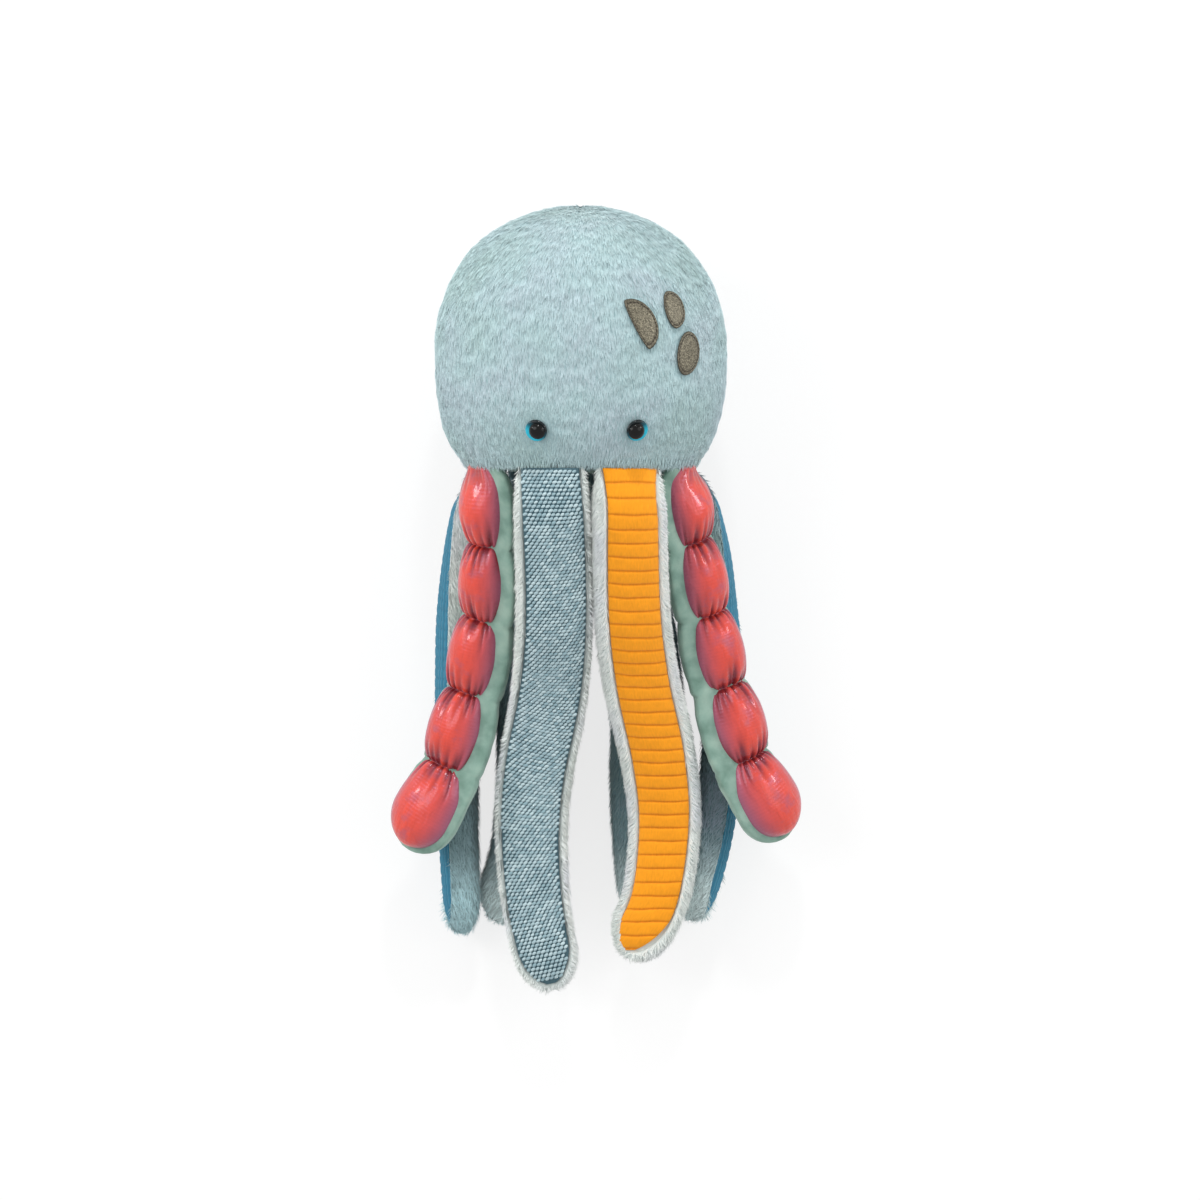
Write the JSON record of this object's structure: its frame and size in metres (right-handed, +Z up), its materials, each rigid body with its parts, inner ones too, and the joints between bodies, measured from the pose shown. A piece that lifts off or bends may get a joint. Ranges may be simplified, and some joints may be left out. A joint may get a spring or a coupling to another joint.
{
  "type": "plush jellyfish",
  "caption": "Soft toy jellyfish lying on its back: a round fur dome head with plastic eyes and leather-cloth spots, over long stuffed tentacles with woven, ribbed, corded and gathered fronts",
  "frame": {"origin": "on the floor, in the middle of the flat that the back of the head rests on", "axes": "+Z up, out of the face of the toy as it lies on its back; +Y from the tentacles to the crown of the head; +X to the right of a viewer who looks down at the face with the crown at the top"},
  "size_m": [0.2056, 0.3932, 0.136],
  "materials": {
    "pale_blue_fur": "pale blue-grey long-pile plush",
    "woven_wool": "coarse blue and white basket weave",
    "orange_jersey": "orange cloth stitched into cross ribs",
    "blue_corduroy": "dark teal corded cloth",
    "coral_satin": "coral satin with a pale sheen, gathered",
    "mint_velvet": "short mint green velvet",
    "bronze_leathercloth": "bronze metallic leather cloth",
    "black_eye_plastic": "polished black",
    "teal_eye_plastic": "polished teal",
    "white_washer_plastic": "plain moulded"
  },
  "bodies": {
    "root": {"head": "pale_blue_fur", "closing_panel": "mint_velvet", "left_eye": "black_eye_plastic", "left_eye_ring": "teal_eye_plastic", "left_eye_washer": "white_washer_plastic", "right_eye": "black_eye_plastic", "right_eye_ring": "teal_eye_plastic", "right_eye_washer": "white_washer_plastic", "spot_large": "bronze_leathercloth", "spot_upper": "bronze_leathercloth", "spot_lower": "bronze_leathercloth", "front_left_tentacle_fur": "pale_blue_fur", "front_left_tentacle_woven_panel": "woven_wool", "front_right_tentacle_fur": "pale_blue_fur", "front_right_tentacle_ribbed_panel": "orange_jersey", "side_left_tentacle_fur": "pale_blue_fur", "side_left_tentacle_corded_panel": "blue_corduroy", "side_right_tentacle_fur": "pale_blue_fur", "side_right_tentacle_corded_panel": "blue_corduroy", "back_left_tentacle_fur": "pale_blue_fur", "back_left_tentacle_ribbed_panel": "orange_jersey", "back_right_tentacle_fur": "pale_blue_fur", "back_right_tentacle_woven_panel": "woven_wool", "gathered_left_tentacle_velvet": "mint_velvet", "gathered_left_tentacle_satin": "coral_satin", "gathered_right_tentacle_velvet": "mint_velvet", "gathered_right_tentacle_satin": "coral_satin"}
  },
  "joints": []
}
